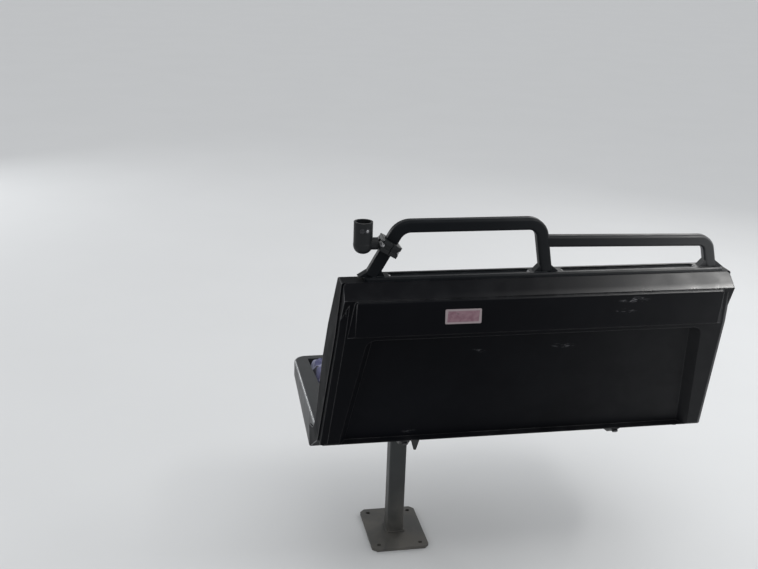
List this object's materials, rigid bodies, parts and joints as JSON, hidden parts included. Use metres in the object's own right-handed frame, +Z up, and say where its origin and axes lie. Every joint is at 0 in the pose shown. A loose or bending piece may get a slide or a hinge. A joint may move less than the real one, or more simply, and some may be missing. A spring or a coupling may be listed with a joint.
{
  "type": "double bus passenger seat",
  "caption": "Fixed double bus seat with a moulded back and knee recess, fabric pads, a stepped grab rail with a stanchion clamp, a pedestal leg and a wall bracket.",
  "frame": {"origin": "on the floor, at the centre of the pedestal foot plate's four bolt holes", "axes": "+X across the bus to the window wall, +Y forward, the way the seat faces, +Z up"},
  "size_m": [0.9536, 0.6314, 0.9675],
  "materials": {
    "shell_black": "satin, finely grained",
    "rail_black": "satin, smooth",
    "pan_grey": "satin, finely grained",
    "seat_fabric": "woven, cut pile",
    "back_fabric": "woven, cut pile",
    "fitting_black": "satin powder coat",
    "frame_paint": "satin powder coat",
    "leg_paint": "satin powder coat"
  },
  "bodies": {
    "root": {"back_bracket_aisle": "frame_paint", "back_bracket_window": "frame_paint", "back_pad_aisle": "back_fabric", "back_pad_window": "back_fabric", "back_shell": "shell_black", "clamp_cap": "fitting_black", "foot_plate": "leg_paint", "front_cross_tube": "frame_paint", "grab_rail": "rail_black", "hanging_tab": "frame_paint", "leg_gusset_front": "leg_paint", "leg_gusset_rear": "leg_paint", "leg_head": "leg_paint", "pedestal_leg": "leg_paint", "rear_cover": "shell_black", "rear_cross_tube": "frame_paint", "seat_pad_aisle": "seat_fabric", "seat_pad_window": "seat_fabric", "seat_pan": "pan_grey", "side_member_aisle": "frame_paint", "side_member_window": "frame_paint", "stanchion_elbow": "fitting_black", "tube_cap_front": "shell_black", "tube_cap_rear": "shell_black", "wall_bracket": "frame_paint"}
  },
  "joints": []
}
